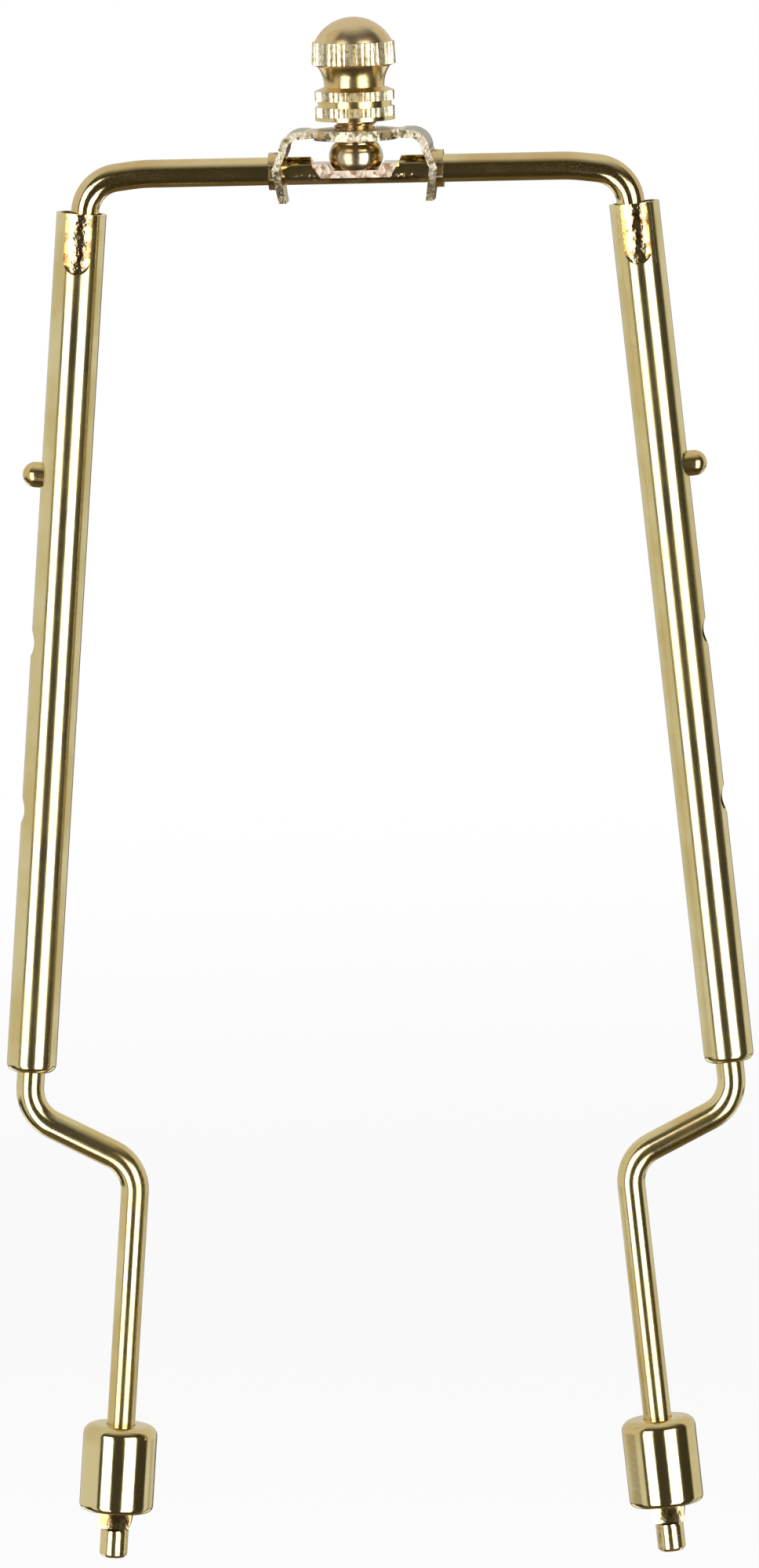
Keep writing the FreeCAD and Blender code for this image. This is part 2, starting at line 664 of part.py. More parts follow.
def make_stud():
    body = new_body("stud")
    head_foot = f"( {notch_floor} + head_gap )"
    head_top, end = f"( {head_foot} + head_height )", f"( {strap_top} + stud_length )"
    profile = sketch_on(body, "XZ_Plane", "stud_profile")
    draw_outline(profile, [
        ("0", head_foot),
        ("head_flat_dia / 2", head_foot),
        ("head_flat_dia / 2", head_top),
        ("stud_dia / 2", head_top),
        ("stud_dia / 2", f"{end} - stud_chamfer"),
        ("stud_dia / 2 - stud_chamfer", end),
        ("0", end),
    ], {1: "head_round"})
    turn(body, profile)
    return body


def make_finial():
    foot = worth(named(f"{strap_top} + finial_gap"))
    body = new_body("finial", FreeCAD.Placement(FreeCAD.Vector(0, 0, foot), FreeCAD.Rotation()))
    bore, base = "( stud_dia / 2 + bore_gap )", "( base_dia / 2 )"
    lower_band_top = "( base_plain + base_band )"
    upper_band_foot = f"( {lower_band_top} + base_groove )"
    base_top = f"( {upper_band_foot} + base_band )"
    head_top = "( head_band_base + head_band_height )"
    dome_rise = f"( finial_height - {head_top} )"
    dome_radius = f"( ( dome_dia * dome_dia / 4 + {dome_rise} * {dome_rise} ) / 2 / {dome_rise} )"
    profile = sketch_on(body, "XZ_Plane", "finial_profile")
    draw_outline(profile, [
        (bore, "0"),
        (base, "0"),
        (base, lower_band_top),
        (f"{base} - groove_depth", lower_band_top),
        (f"{base} - groove_depth", upper_band_foot),
        (base, upper_band_foot),
        (base, base_top),
        ("neck_low_dia / 2", f"{base_top} + neck_low_rise"),
        ("neck_high_dia / 2", "head_band_base - head_bevel"),
        ("head_band_dia / 2", "head_band_base"),
        ("head_band_dia / 2 - head_band_taper", head_top),
        ("dome_dia / 2", head_top),
        ("0", "finial_height"),
        ("0", f"bore_depth + {bore} / 2"),
        (bore, "bore_depth"),
    ], {7: "-neck_hollow", 11: dome_radius})
    turned = turn(body, profile)

    bands = {
        "lower": (base, lower_band_top, "base_band"),
        "upper": (base, base_top, "base_band"),
        "head": ("( head_band_dia / 2 )", head_top, "head_band_height"),
    }
    cuts = []
    for name, (radius, top, height) in bands.items():
        tooth = sketch_on(body, "XY_Plane", f"{name}_knurl", top)
        draw_outline(tooth, [
            (f"{radius} - knurl_depth", "0"),
            (f"{radius} + knurl_depth", "0 - 2 * knurl_depth"),
            (f"{radius} + knurl_depth", "2 * knurl_depth"),
        ])
        cuts.append(pocket(body, tooth, height))
    if not cuts[-1].Shape.Volume < turned.Shape.Volume:
        raise ValueError("the knurl cuts nothing")
    knurl = body.newObject("PartDesign::PolarPattern", "knurl")
    knurl.Originals = cuts
    knurl.Axis = (origin_feature(body, "Z_Axis"), [""])
    knurl.Angle = 360
    knurl.setExpression("Occurrences", named("knurl_count"))
    finish(body, knurl)
    return body


pieces = [make_top_bow(), make_saddle_strap(), make_stud(), make_finial()]
for side in "left", "right":
    for make in make_tube, make_leg_rod, make_slider, make_button_spring, make_button, make_ferrule:
        pieces.append(make(side))
document.recompute()

faults = [item.Name for item in document.Objects if {"Invalid", "Error"} & set(item.State)]
if faults:
    raise RuntimeError(f"these failed to build: {faults}")
for piece in pieces:
    if piece.Shape.isNull() or not piece.Shape.isValid() or len(piece.Shape.Solids) != 1:
        raise RuntimeError(f"{piece.Label} isn't one sound solid")

os.makedirs("parts", exist_ok=True)
for piece in pieces:
    piece.Shape.exportStep(f"parts/{piece.Label}.step")
    print(f"{piece.Label}: {piece.Shape.Volume:.1f} mm3")
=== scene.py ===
import bpy
import bmesh
import json
import math
from mathutils import Matrix, Vector


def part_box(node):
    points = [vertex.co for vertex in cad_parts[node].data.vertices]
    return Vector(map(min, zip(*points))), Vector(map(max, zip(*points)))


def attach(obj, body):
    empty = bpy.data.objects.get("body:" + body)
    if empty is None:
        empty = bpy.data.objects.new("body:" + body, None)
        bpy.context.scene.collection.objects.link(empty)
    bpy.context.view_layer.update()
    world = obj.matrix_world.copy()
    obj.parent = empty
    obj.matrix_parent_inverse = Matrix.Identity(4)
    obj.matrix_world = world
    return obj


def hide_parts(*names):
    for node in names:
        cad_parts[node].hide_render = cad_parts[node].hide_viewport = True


# Lamp harp of bright brass-plated steel with a knurled brass finial

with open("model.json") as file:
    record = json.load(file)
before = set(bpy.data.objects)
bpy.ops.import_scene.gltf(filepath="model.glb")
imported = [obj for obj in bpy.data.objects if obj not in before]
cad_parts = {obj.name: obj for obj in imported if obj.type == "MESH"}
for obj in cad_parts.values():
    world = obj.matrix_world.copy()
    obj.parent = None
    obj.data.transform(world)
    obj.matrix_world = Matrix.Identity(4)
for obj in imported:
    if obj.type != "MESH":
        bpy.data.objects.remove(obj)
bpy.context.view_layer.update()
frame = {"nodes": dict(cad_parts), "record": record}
mm = 0.001


def say(stage):
    print("lamp harp:", stage)


# Node helpers

def newTree(material):
    material.use_nodes = True
    tree = material.node_tree
    tree.nodes.clear()
    return tree


def put(tree, kind, **settings):
    node = tree.nodes.new(kind)
    for name, value in settings.items():
        if hasattr(node, name):
            setattr(node, name, value)
        else:
            node.inputs[name].default_value = value
    return node


def feed(tree, socket, value):
    if isinstance(value, bpy.types.NodeSocket):
        tree.links.new(value, socket)
    else:
        socket.default_value = value


def calc(tree, operation, *values):
    node = put(tree, "ShaderNodeMath", operation=operation)
    for socket, value in zip(node.inputs, values):
        feed(tree, socket, value)
    return node.outputs[0]


def ease(tree, value, low, high, lowOut=0.0, highOut=1.0):
    node = put(tree, "ShaderNodeMapRange", interpolation_type="SMOOTHSTEP")
    for socket, number in zip(node.inputs, (value, low, high, lowOut, highOut)):
        feed(tree, socket, number)
    return node.outputs[0]


def within(tree, value, low, high, soft):
    rising = ease(tree, value, low - soft, low + soft)
    falling = ease(tree, value, high - soft, high + soft, 1.0, 0.0)
    return calc(tree, "MULTIPLY", rising, falling)


def mixColor(tree, factor, first, second):
    node = put(tree, "ShaderNodeMix", data_type="RGBA")
    feed(tree, node.inputs["Factor"], factor)
    feed(tree, node.inputs[6], first)
    feed(tree, node.inputs[7], second)
    return node.outputs[2]


def mixValue(tree, factor, first, second):
    return calc(tree, "MULTIPLY_ADD", factor, calc(tree, "SUBTRACT", second, first), first)


# Camera, at the photograph's angle

cameraSet = {
    "distance": 2.0,
    "azimuth": 4.5,  # degrees to the right of the front
    "elevation": 7.0,  # degrees above the horizontal
    "roll": -1.48,  # the harp leans a little to the left
    "aim": (1.08 * mm, 0, 117.57 * mm),
    "lens": 305.15,
    "sensor": 36.0,
}


def addCamera(values):
    turn, rise, roll = (math.radians(values[name]) for name in ("azimuth", "elevation", "roll"))
    away = Vector((math.sin(turn) * math.cos(rise), -math.cos(turn) * math.cos(rise), math.sin(rise)))
    right = Vector((math.cos(turn), math.sin(turn), 0))
    up = away.cross(right)
    turnedRight = right * math.cos(roll) + up * math.sin(roll)
    turnedUp = up * math.cos(roll) - right * math.sin(roll)
    lens = bpy.data.cameras.new("camera")
    lens.lens = values["lens"]
    lens.sensor_fit = "VERTICAL"
    lens.sensor_height = values["sensor"]
    lens.clip_end = 100
    camera = bpy.data.objects.new("camera", lens)
    bpy.context.scene.collection.objects.link(camera)
    facing = Matrix((turnedRight, turnedUp, away)).transposed().to_4x4()
    place = Vector(values["aim"]) + away * values["distance"]
    camera.matrix_world = Matrix.Translation(place) @ facing
    bpy.context.scene.camera = camera


addCamera(cameraSet)
say("camera")

# Studio: what the bright metal mirrors. Angles in degrees, azimuth from its front and plus to the right

studio = {
    "turn": 4.5,  # the studio's front faces the camera
    "backdrop": (0.66, 0.65, 0.61, 1),  # what no panel covers
    "ambient": 0.45,  # for rays that neither the camera nor a reflection sends
    "white": 1.0,  # behind the harp, for the camera
    "panels": [
        # azimuth from and to, elevation from and to, softness of both, colour
        (-180, 180, -100, -34, 1, 12, (0.13, 0.10, 0.045, 1)),  # brown all round below
        (-63, 96, -100, 58, 3, 26, (0.046, 0.040, 0.026, 1)),  # dark room behind the camera
        (-51, -22, -42, 20, 2, 4, (3.4, 3.4, 3.4, 1)),  # left light
        (17, 52, -42, 20, 2, 4, (3.4, 3.4, 3.4, 1)),  # right light
        (117, 200, -48, -15, 3, 2, (0.046, 0.040, 0.026, 1)),  # dark behind the harp, right half
        (-200, -84, -48, -15, 3, 2, (0.046, 0.040, 0.026, 1)),  # and left half
        (129, 158, -46, -19, 2, 2, (1.1, 1.1, 1.05, 1)),  # soft light behind, right
        (-163, -128, -46, -19, 2, 2, (1.1, 1.1, 1.05, 1)),  # and left
        (152, 206, -46, -3, 10, 3, (0.13, 0.11, 0.06, 1)),  # brown straight behind, right half
        (-206, -164, -46, -3, 10, 3, (0.13, 0.11, 0.06, 1)),  # and left half
    ],
}


def makeStudio(values):
    world = bpy.data.worlds.new("studio")
    bpy.context.scene.world = world
    world.use_nodes = True
    tree = world.node_tree
    tree.nodes.clear()
    toward = put(tree, "ShaderNodeTexCoord").outputs["Generated"]
    turned = put(tree, "ShaderNodeVectorRotate", rotation_type="Z_AXIS")
    feed(tree, turned.inputs["Vector"], toward)
    turned.inputs["Angle"].default_value = -math.radians(values["turn"])
    split = put(tree, "ShaderNodeSeparateXYZ")
    feed(tree, split.inputs[0], turned.outputs[0])
    x, y, z = split.outputs
    degree = math.degrees(1)
    rise = calc(tree, "MULTIPLY", calc(tree, "ARCSINE", z), degree)
    around = calc(tree, "MULTIPLY", calc(tree, "ARCTAN2", x, calc(tree, "MULTIPLY", y, -1)), degree)
    color = values["backdrop"]
    for left, right, low, high, softAround, softRise, shade in values["panels"]:
        mask = calc(
            tree, "MULTIPLY",
            within(tree, around, left, right, softAround),
            within(tree, rise, low, high, softRise),
        )
        color = mixColor(tree, mask, color, shade)
    rays = put(tree, "ShaderNodeLightPath")
    plain = (values["ambient"],) * 3 + (1,)
    seen = mixColor(tree, rays.outputs["Is Glossy Ray"], plain, color)
    white = (values["white"],) * 3 + (1,)
    seen = mixColor(tree, rays.outputs["Is Camera Ray"], seen, white)
    glow = put(tree, "ShaderNodeBackground")
    feed(tree, glow.inputs["Color"], seen)
    result = put(tree, "ShaderNodeOutputWorld")
    feed(tree, result.inputs[0], glow.outputs[0])
    world.cycles.sampling_method = "NONE"


makeStudio(studio)

# Lamps: plain soft light on the harp, which neither the camera nor the metal sees

lampAim = Vector((0, 0, 0.1))
lamps = {
    "keyLamp": {"place": (-0.9, -1.1, 1.7), "size": 1.3, "power": 34},
    "fillLamp": {"place": (1.2, -0.9, 1.2), "size": 1.3, "power": 14},
}


def addLamps(values):
    for name, lamp in values.items():
        light = bpy.data.lights.new(name, "AREA")
        light.energy = lamp["power"]
        light.size = lamp["size"]
        body = bpy.data.objects.new(name, light)
        bpy.context.scene.collection.objects.link(body)
        place = Vector(lamp["place"])
        aim = lampAim - place
        body.matrix_world = Matrix.Translation(place) @ aim.to_track_quat("-Z", "Y").to_matrix().to_4x4()
        body.visible_camera = False
        body.visible_glossy = False


addLamps(lamps)

# Floor: white for the camera, with a share of the harp's shadow

floorSet = {
    "half": 20.0,
    "drop": 55 * mm,  # the held harp's legs slide down by 50.8 mm
    "color": (0.9, 0.9, 0.89, 1),
    "shadowShare": 0.32,  # how much of the floor takes shadows, near the harp
    "near": 0.35,  # that share falls to nothing between these two distances
    "far": 1.4,
    "glow": 0.3,  # of the floor's white share, for all but the camera
}


def makeFloor(values):
    mesh = bpy.data.meshes.new("floor")
    half, low = values["half"], -values["drop"]
    corners = [(-half, -half, low), (half, -half, low), (half, half, low), (-half, half, low)]
    mesh.from_pydata(corners, [], [(0, 1, 2, 3)])
    floor = bpy.data.objects.new("floor", mesh)
    bpy.context.scene.collection.objects.link(floor)
    material = bpy.data.materials.new("paleFloor")
    tree = newTree(material)
    coordinates = put(tree, "ShaderNodeTexCoord").outputs["Object"]
    length = put(tree, "ShaderNodeVectorMath", operation="LENGTH")
    feed(tree, length.inputs[0], coordinates)
    fade = ease(tree, length.outputs["Value"], values["near"], values["far"], values["shadowShare"], 0.0)
    matt = put(tree, "ShaderNodeBsdfDiffuse", Color=values["color"])
    glow = put(tree, "ShaderNodeEmission")
    rays = put(tree, "ShaderNodeLightPath")
    glowing = calc(tree, "MAXIMUM", rays.outputs["Is Camera Ray"], values["glow"])
    feed(tree, glow.inputs["Strength"], glowing)
    blend = put(tree, "ShaderNodeMixShader")
    feed(tree, blend.inputs[0], fade)
    feed(tree, blend.inputs[1], glow.outputs[0])
    feed(tree, blend.inputs[2], matt.outputs[0])
    result = put(tree, "ShaderNodeOutputMaterial")
    feed(tree, result.inputs[0], blend.outputs[0])
    mesh.materials.append(material)
    floor.visible_glossy = False


makeFloor(floorSet)
say("studio and floor")

# Marks: each is a mask from the place on the piece, in metres, and says where a metal looks different

hair = 0.04 * mm  # what lies this near to a face counts as on it
tubeLean = math.radians(5)  # of tubes and legs, tops towards each other


def reachOf(tree, x, y):
    squares = calc(tree, "ADD", calc(tree, "MULTIPLY", x, x), calc(tree, "MULTIPLY", y, y))
    return calc(tree, "SQRT", squares)


def roundSwell(tree, aside, radius):
    return calc(tree, "DIVIDE", calc(tree, "MULTIPLY", aside, aside), -2 * radius)


# Strap: cut edges all round, a landing that is worn in its middle, and painted shade: a dark band across
# its top bends

strapFoot, strapTop = (corner[2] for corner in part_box("saddle_strap"))
strapMarks = {
    "landing": 6.3 * mm,  # radius of the round landing
    "neck": 2.6 * mm,  # half the neck's width, front to back
    "arm": 4.5 * mm,  # half the arm's width, front to back
    "armStart": 7.0 * mm,
    "tab": 2.8 * mm,  # half the width of a tab's foot
    "tabFoot": 206.69 * mm,  # the tab widens from here
    "tabTop": 210.64 * mm,
    "footFade": (2 * mm, 4 * mm, 0.4),  # the tabs' cut edges are darker below: from, to, share
    "scuff": (5.4 * mm, 6.8 * mm, 0.8),  # worn middle of the landing: full to here, none from here, share
    "shadeBand": (7.4 * mm, 12.2 * mm, 0.5 * mm),  # painted shade across a bend: from, to, softness
    "shadeBandDepth": 3.5 * mm,  # it ends this far below the strap's top
}


def shearedStrap(tree, x, y, z):
    deep = calc(tree, "ABSOLUTE", y)
    wide = calc(tree, "ABSOLUTE", x)
    reach = reachOf(tree, x, y)
    taper = put(tree, "ShaderNodeMapRange")
    numbers = (z, strapMarks["tabFoot"], strapMarks["tabTop"], strapMarks["tab"], strapMarks["arm"])
    for socket, number in zip(taper.inputs, numbers):
        feed(tree, socket, number)
    arm = calc(tree, "COMPARE", deep, taper.outputs[0], hair)
    arm = calc(tree, "MULTIPLY", arm, calc(tree, "GREATER_THAN", wide, strapMarks["armStart"]))
    low, high, share = strapMarks["footFade"]
    arm = calc(tree, "MULTIPLY", arm, ease(tree, z, strapFoot + low, strapFoot + high, share, 1.0))
    neck = calc(tree, "COMPARE", deep, strapMarks["neck"], hair)
    rim = calc(tree, "COMPARE", reach, strapMarks["landing"], hair)
    rim = calc(tree, "MULTIPLY", rim, calc(tree, "GREATER_THAN", deep, strapMarks["neck"] - hair))
    full, none, share = strapMarks["scuff"]
    worn = calc(tree, "GREATER_THAN", z, strapTop - hair)
    worn = calc(tree, "MULTIPLY", worn, ease(tree, reach, full, none, share, 0.0))
    feet = calc(tree, "LESS_THAN", z, strapFoot + hair)
    mask = arm
    for other in (neck, rim, worn, feet):
        mask = calc(tree, "MAXIMUM", mask, other)
    return mask


# Painted shade: a dark tone across the top bends, where the rounded metal would mirror the dark room
def shadedBendBand(tree, x, y, z):
    band = within(tree, calc(tree, "ABSOLUTE", x), *strapMarks["shadeBand"])
    return calc(tree, "MULTIPLY", band, calc(tree, "GREATER_THAN", z, strapTop - strapMarks["shadeBandDepth"]))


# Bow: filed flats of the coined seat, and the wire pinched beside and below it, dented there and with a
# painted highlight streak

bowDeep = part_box("top_bow")[1][1]
bowMarks = {
    "pinch": (208.3 * mm, 209.7 * mm, 0.3 * mm),  # up the wire: from, to, softness
    "pinchReach": 13 * mm,  # from the harp's middle to the end of the pinch
    "pinchFade": 4 * mm,
}


def coinedSeat(tree, x, y, z):
    return calc(tree, "GREATER_THAN", calc(tree, "ABSOLUTE", y), bowDeep - hair)


# Partly painted highlight: the pinched wire below the seat gets real dents, and a paler tone than the
# wire's that paints a highlight streak
def pinchedSeatSheen(tree, x, y, z):
    low = within(tree, z, *bowMarks["pinch"])
    reach = bowMarks["pinchReach"]
    wide = ease(tree, calc(tree, "ABSOLUTE", x), reach - bowMarks["pinchFade"], reach, 1.0, 0.0)
    return calc(tree, "MULTIPLY", low, wide)


# Tubes: the wall hammered in where a tube is crimped on the bow

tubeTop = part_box("right_tube")[1][2]
tubeMarks = {
    "topMiddle": 41.48 * mm,  # from the harp's middle to the tube's, at its top
    "crimpDepth": 9.3 * mm,
    "crimpFace": 2.8 * mm,  # the crimped wall is nearer to the middle than this, front to back
    "crimpWide": 2.5 * mm,  # half the crimp's width
    "crimpRound": 4.4 * mm,  # radius that the crimp seems to have
}


def besideTube(tree, x, z):
    down = calc(tree, "SUBTRACT", tubeTop, z)
    middle = calc(tree, "MULTIPLY_ADD", down, math.tan(tubeLean), tubeMarks["topMiddle"])
    return calc(tree, "SUBTRACT", calc(tree, "ABSOLUTE", x), middle)


def crimpedWall(tree, x, y, z):
    high = calc(tree, "GREATER_THAN", z, tubeTop - tubeMarks["crimpDepth"])
    pressed = calc(tree, "LESS_THAN", calc(tree, "ABSOLUTE", y), tubeMarks["crimpFace"])
    wide = calc(tree, "ABSOLUTE", besideTube(tree, x, z))
    face = ease(tree, wide, tubeMarks["crimpWide"] - hair, tubeMarks["crimpWide"] + hair, 1.0, 0.0)
    return calc(tree, "MULTIPLY", calc(tree, "MULTIPLY", high, pressed), face)


def crimpSwell(tree, x, y, z):
    return roundSwell(tree, besideTube(tree, x, z), tubeMarks["crimpRound"])


# Finial: knurled bands, and a dome that is duller than the rest

finialFoot, finialTop = (corner[2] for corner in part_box("finial"))
finialMarks = {
    "knurls": [(0.6 * mm, 2.0 * mm), (3.0 * mm, 4.4 * mm), (8.4 * mm, 11.7 * mm)],  # up the finial
    "knurlSoft": 0.05 * mm,
    "knurlRoot": 5.53 * mm,  # radius at the foot of the knurls
    "domeHeight": 3.65 * mm,
    "domeTip": 0.3,  # slope that tips what the dome mirrors
}


def knurledRim(tree, x, y, z):
    bands = 0.0
    for low, high in finialMarks["knurls"]:
        band = within(tree, z, finialFoot + low, finialFoot + high, finialMarks["knurlSoft"])
        bands = calc(tree, "MAXIMUM", bands, band)
    outside = calc(tree, "GREATER_THAN", reachOf(tree, x, y), finialMarks["knurlRoot"])
    return calc(tree, "MULTIPLY", bands, outside)


def domeFoot(tree, x, y, z):
    return calc(tree, "GREATER_THAN", z, finialTop - finialMarks["domeHeight"])


def domeSwell(tree, x, y, z):
    return calc(tree, "MULTIPLY", z, finialMarks["domeTip"])


# Leg rods: duller ends below the ferrules, and ears pressed flat

rodMarks = {
    "drawn": (8 * mm, 9 * mm),  # up the rod: full to here, none from here
    "ears": (4.2 * mm, 7.2 * mm, 0.3 * mm),  # up the rod: from, to, softness
    "earRound": 8.5 * mm,  # radius that the ears' flats seem to have
    "tipMiddle": 42.5 * mm,  # from the harp's middle to a leg's tip
}


def drawnEnds(tree, x, y, z):
    return ease(tree, z, *rodMarks["drawn"], 1.0, 0.0)


def pressedEars(tree, x, y, z):
    return within(tree, z, *rodMarks["ears"])


def earSwell(tree, x, y, z):
    middle = calc(tree, "MULTIPLY_ADD", z, -math.tan(tubeLean), rodMarks["tipMiddle"])
    return roundSwell(tree, calc(tree, "SUBTRACT", calc(tree, "ABSOLUTE", x), middle), rodMarks["earRound"])


# Metals. A look lies over its metal where its mark says so: relief and depth are its dents, and swell is a
# height that makes a flat mirror as if it were round

looks = {
    "sheared": {
        "mask": shearedStrap, "tone": (0.80, 0.69, 0.53, 1), "speck": (0.24, 0.22, 0.10, 1), "rough": 0.42,
        "grain": 900, "relief": 0.9, "depth": 0.35 * mm, "swell": None,
    },
    "filed": {
        "mask": coinedSeat, "tone": (0.86, 0.72, 0.58, 1), "speck": (0.42, 0.25, 0.15, 1), "rough": 0.45,
        "grain": 900, "relief": 0.9, "depth": 0.35 * mm, "swell": None,
    },
    # painted shade: the dark tone on the strap's top bends
    "bendShade": {
        "mask": shadedBendBand, "tone": (0.30, 0.25, 0.08, 1), "speck": (0.20, 0.17, 0.06, 1), "rough": 0.2,
        "grain": 500, "relief": 0.2, "depth": 0.2 * mm, "swell": None,
    },
    # dents of the pinched wire, with a paler tone as a painted highlight
    "pinchedSheen": {
        "mask": pinchedSeatSheen, "tone": (0.92, 0.76, 0.52, 1), "speck": (0.60, 0.42, 0.22, 1), "rough": 0.16,
        "grain": 260, "relief": 1.0, "depth": 0.75 * mm, "swell": None,
    },
    "hammered": {
        "mask": crimpedWall, "tone": (0.84, 0.66, 0.36, 1), "speck": (0.46, 0.27, 0.14, 1), "rough": 0.12,
        "grain": 620, "relief": 1.0, "depth": 0.22 * mm, "swell": crimpSwell,
    },
    "milled": {
        "mask": knurledRim, "tone": (0.98, 0.88, 0.62, 1), "speck": (0.62, 0.50, 0.28, 1), "rough": 0.30,
        "grain": 1500, "relief": 0.35, "depth": 0.1 * mm, "swell": None,
    },
    "domed": {
        "mask": domeFoot, "tone": (0.88, 0.70, 0.40, 1), "speck": (0.80, 0.60, 0.30, 1), "rough": 0.27,
        "grain": 300, "relief": 0.05, "depth": 0.2 * mm, "swell": domeSwell,
    },
    "drawn": {
        "mask": drawnEnds, "tone": (0.90, 0.74, 0.38, 1), "speck": (0.80, 0.62, 0.30, 1), "rough": 0.18,
        "grain": 500, "relief": 0.2, "depth": 0.2 * mm, "swell": None,
    },
    "eared": {
        "mask": pressedEars, "tone": (0.86, 0.70, 0.38, 1), "speck": (0.52, 0.34, 0.15, 1), "rough": 0.14,
        "grain": 350, "relief": 0.5, "depth": 0.3 * mm, "swell": earSwell,
    },
}

metals = {
    "platedWire": {
        "light": (0.90, 0.76, 0.40, 1), "deep": (0.80, 0.62, 0.27, 1), "patch": 90,
        "smooth": 0.16, "dull": 0.22, "grain": 700, "bump": 0.06, "looks": ["drawn", "eared"],
    },
    "platedBow": {
        "light": (0.88, 0.72, 0.38, 1), "deep": (0.76, 0.56, 0.26, 1), "patch": 110,
        "smooth": 0.10, "dull": 0.16, "grain": 800, "bump": 0.10, "looks": ["pinchedSheen", "filed"],
    },
    "platedStrap": {
        "light": (0.90, 0.76, 0.42, 1), "deep": (0.76, 0.58, 0.28, 1), "patch": 160,
        "smooth": 0.12, "dull": 0.24, "grain": 900, "bump": 0.12, "looks": ["bendShade", "sheared"],
    },
    "platedTube": {
        "light": (0.90, 0.78, 0.44, 1), "deep": (0.80, 0.65, 0.30, 1), "patch": 90,
        "smooth": 0.14, "dull": 0.21, "grain": 700, "bump": 0.05, "looks": ["hammered"],
    },
    "platedCap": {
        "light": (0.90, 0.77, 0.42, 1), "deep": (0.80, 0.64, 0.29, 1), "patch": 90,
        "smooth": 0.10, "dull": 0.15, "grain": 700, "bump": 0.04, "looks": [],
    },
    "turnedBrass": {
        "light": (0.91, 0.74, 0.37, 1), "deep": (0.80, 0.58, 0.24, 1), "patch": 160,
        "smooth": 0.12, "dull": 0.22, "grain": 1500, "bump": 0.06, "looks": [],
    },
    "headedBrass": {
        "light": (0.80, 0.67, 0.44, 1), "deep": (0.60, 0.47, 0.29, 1), "patch": 200,
        "smooth": 0.18, "dull": 0.30, "grain": 1500, "bump": 0.06, "looks": [],
    },
    "knurledBrass": {
        "light": (0.91, 0.76, 0.40, 1), "deep": (0.80, 0.60, 0.27, 1), "patch": 160,
        "smooth": 0.14, "dull": 0.24, "grain": 1500, "bump": 0.08, "looks": ["domed", "milled"],
    },
    "plainSteel": {
        "light": (0.62, 0.60, 0.56, 1), "deep": (0.48, 0.46, 0.43, 1), "patch": 150,
        "smooth": 0.22, "dull": 0.36, "grain": 900, "bump": 0.08, "looks": [],
    },
    "springSteel": {
        "light": (0.40, 0.41, 0.46, 1), "deep": (0.28, 0.28, 0.36, 1), "patch": 200,
        "smooth": 0.20, "dull": 0.34, "grain": 900, "bump": 0.06, "looks": [],
    },
}


surface = {
    "specks": (0.50, 0.62),  # where the noise turns from tone to speck
    "tints": (0.35, 0.65),  # and from the light to the deep colour
    "wear": (0.3, 0.7),  # and from smooth to dull
    "grainDepth": 0.2 * mm,
}


def addLook(tree, place, look, color, rough, normal):
    split = put(tree, "ShaderNodeSeparateXYZ")
    feed(tree, split.inputs[0], place)
    mask = look["mask"](tree, *split.outputs)
    coarse = put(tree, "ShaderNodeTexNoise", Scale=look["grain"], Detail=4.0)
    feed(tree, coarse.inputs["Vector"], place)
    specks = ease(tree, coarse.outputs["Fac"], *surface["specks"])
    color = mixColor(tree, mask, color, mixColor(tree, specks, look["tone"], look["speck"]))
    rough = mixValue(tree, mask, rough, look["rough"])
    if look["swell"]:
        swell = put(tree, "ShaderNodeBump", Distance=1.0)
        feed(tree, swell.inputs["Strength"], mask)
        feed(tree, swell.inputs["Height"], look["swell"](tree, *split.outputs))
        feed(tree, swell.inputs["Normal"], normal)
        normal = swell.outputs[0]
    dents = put(tree, "ShaderNodeBump", Distance=look["depth"])
    feed(tree, dents.inputs["Strength"], calc(tree, "MULTIPLY", mask, look["relief"]))
    feed(tree, dents.inputs["Height"], coarse.outputs["Fac"])
    feed(tree, dents.inputs["Normal"], normal)
    return color, rough, dents.outputs[0]


def makeMetal(name, values):
    material = bpy.data.materials.new(name)
    tree = newTree(material)
    place = put(tree, "ShaderNodeTexCoord").outputs["Object"]
    patches = put(tree, "ShaderNodeTexNoise", Scale=values["patch"], Detail=4.0)
    feed(tree, patches.inputs["Vector"], place)
    grain = put(tree, "ShaderNodeTexNoise", Scale=values["grain"], Detail=3.0)
    feed(tree, grain.inputs["Vector"], place)
    spread = ease(tree, patches.outputs["Fac"], *surface["tints"])
    color = mixColor(tree, spread, values["light"], values["deep"])
    rough = ease(tree, patches.outputs["Fac"], *surface["wear"], values["smooth"], values["dull"])
    bump = put(tree, "ShaderNodeBump", Strength=values["bump"], Distance=surface["grainDepth"])
    feed(tree, bump.inputs["Height"], grain.outputs["Fac"])
    normal = bump.outputs[0]
    for look in values["looks"]:
        color, rough, normal = addLook(tree, place, looks[look], color, rough, normal)
    shader = put(tree, "ShaderNodeBsdfPrincipled", Metallic=1.0)
    feed(tree, shader.inputs["Base Color"], color)
    feed(tree, shader.inputs["Roughness"], rough)
    feed(tree, shader.inputs["Normal"], normal)
    result = put(tree, "ShaderNodeOutputMaterial")
    feed(tree, result.inputs[0], shader.outputs[0])
    return material


materials = {name: makeMetal(name, values) for name, values in metals.items()}
finishOf = {  # the left and the right piece have the same metal
    "top_bow": "platedBow", "saddle_strap": "platedStrap", "stud": "headedBrass", "finial": "knurledBrass",
    "tube": "platedTube", "leg_rod": "platedWire", "ferrule": "platedCap", "button": "turnedBrass",
    "slider": "plainSteel", "button_spring": "springSteel",
}
for part in frame["record"]["subparts"]:
    kind = part["node"].removeprefix("left_").removeprefix("right_")
    node = frame["nodes"][part["node"]]
    node.data.materials.clear()
    node.data.materials.append(materials[finishOf[kind]])
say("metals")

# Stud: its round head as the CAD has it, and a cut thread in place of the plain shank

